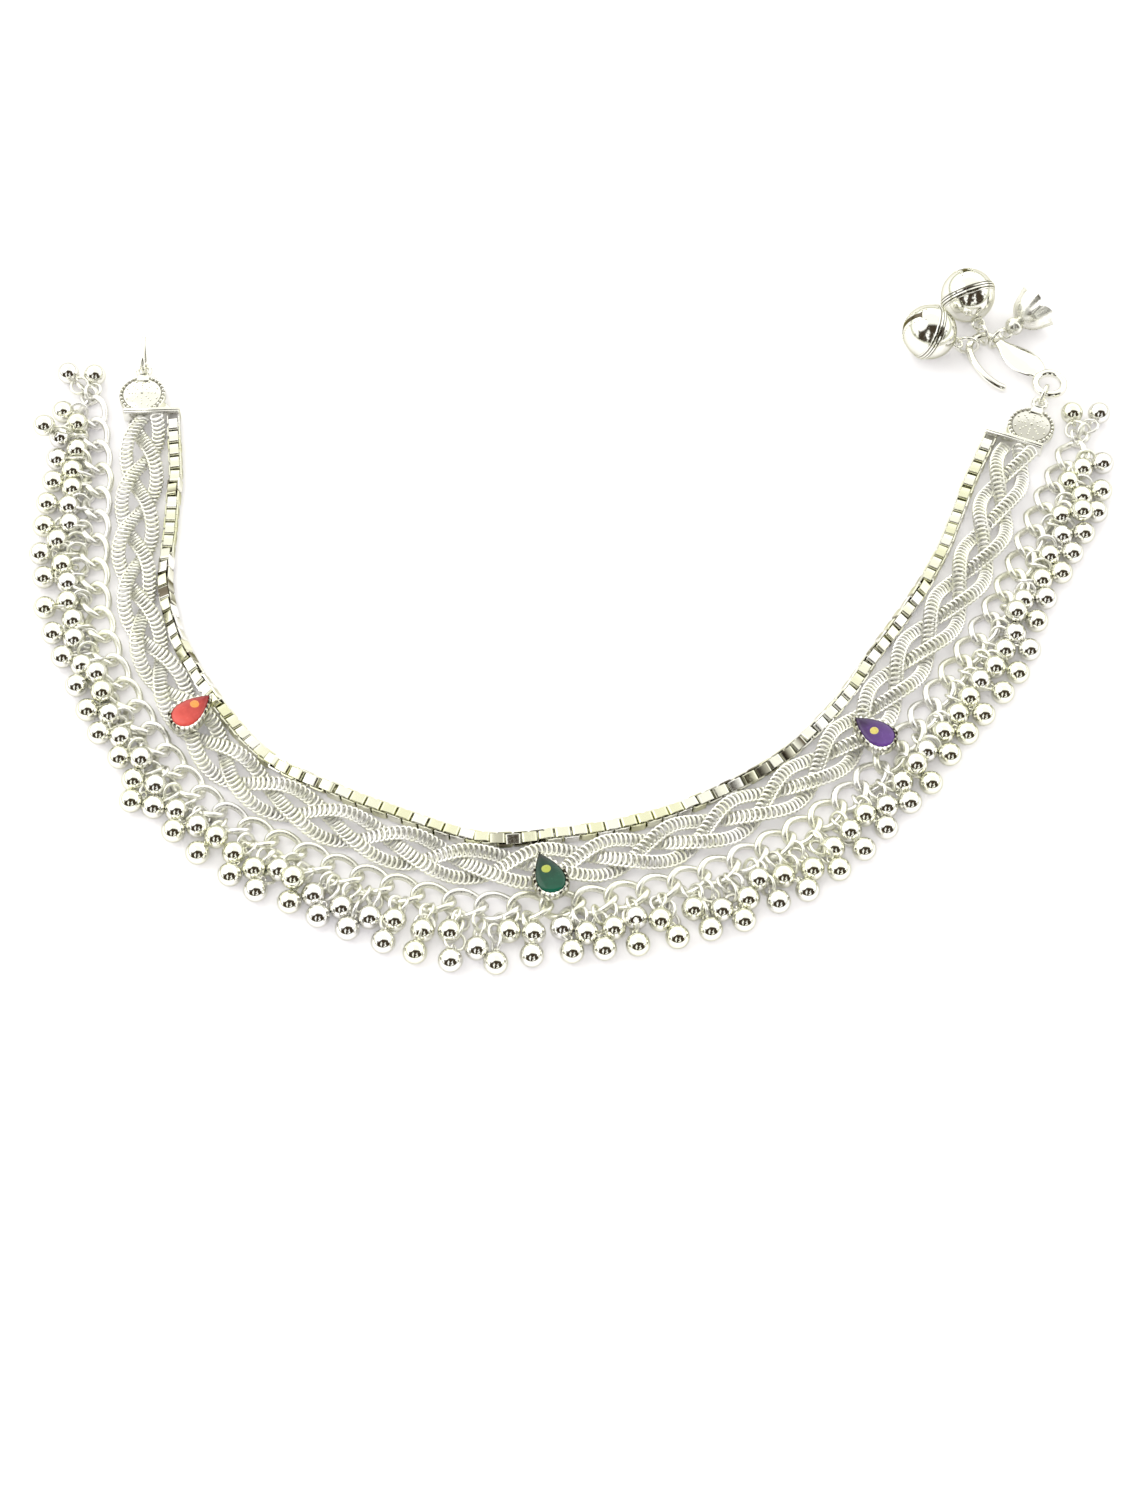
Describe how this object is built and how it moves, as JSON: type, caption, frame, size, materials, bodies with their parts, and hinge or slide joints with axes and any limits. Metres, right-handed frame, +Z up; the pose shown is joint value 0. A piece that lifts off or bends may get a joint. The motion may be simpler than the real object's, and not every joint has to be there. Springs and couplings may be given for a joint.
{
  "type": "payal anklet",
  "caption": "Open ankle chain laid in an arc: box chain, braided strands and a cable chain fringed with small hollow balls, enamel drops, pear eye, hook with bells.",
  "frame": {"origin": "middle of the laid-open anklet's box, on the surface that it lies on", "axes": "+X along the open span from the eye's end to the hook's end, +Y away from the arc's lowest point towards the open side, +Z up"},
  "size_m": [0.1698, 0.1275, 0.0086],
  "materials": {
    "polished_silver": "polished silver plate",
    "strand_silver": "fine curb links, half gloss",
    "enamel_red": "translucent enamel, gloss",
    "enamel_green": "translucent enamel, gloss",
    "enamel_purple": "translucent enamel, gloss"
  },
  "bodies": {
    "root": {"box_chain": "polished_silver", "braid_strand_a": "strand_silver", "braid_strand_b": "strand_silver", "braid_strand_c": "strand_silver", "ghungroo_chain_left": "polished_silver", "ghungroo_chain_right": "polished_silver", "end_plate_left": "polished_silver", "end_plate_right": "polished_silver", "catch_eye": "polished_silver", "end_ring": "polished_silver", "hook": "polished_silver", "bell_low": "polished_silver", "bell_high": "polished_silver", "flower_cap": "polished_silver", "ring_of_bell_low": "polished_silver", "ring_of_bell_high": "polished_silver", "ring_of_flower_cap": "polished_silver", "setting_red": "polished_silver", "setting_green": "polished_silver", "setting_purple": "polished_silver", "stone_red": "enamel_red", "stone_green": "enamel_green", "stone_purple": "enamel_purple"}
  },
  "joints": []
}
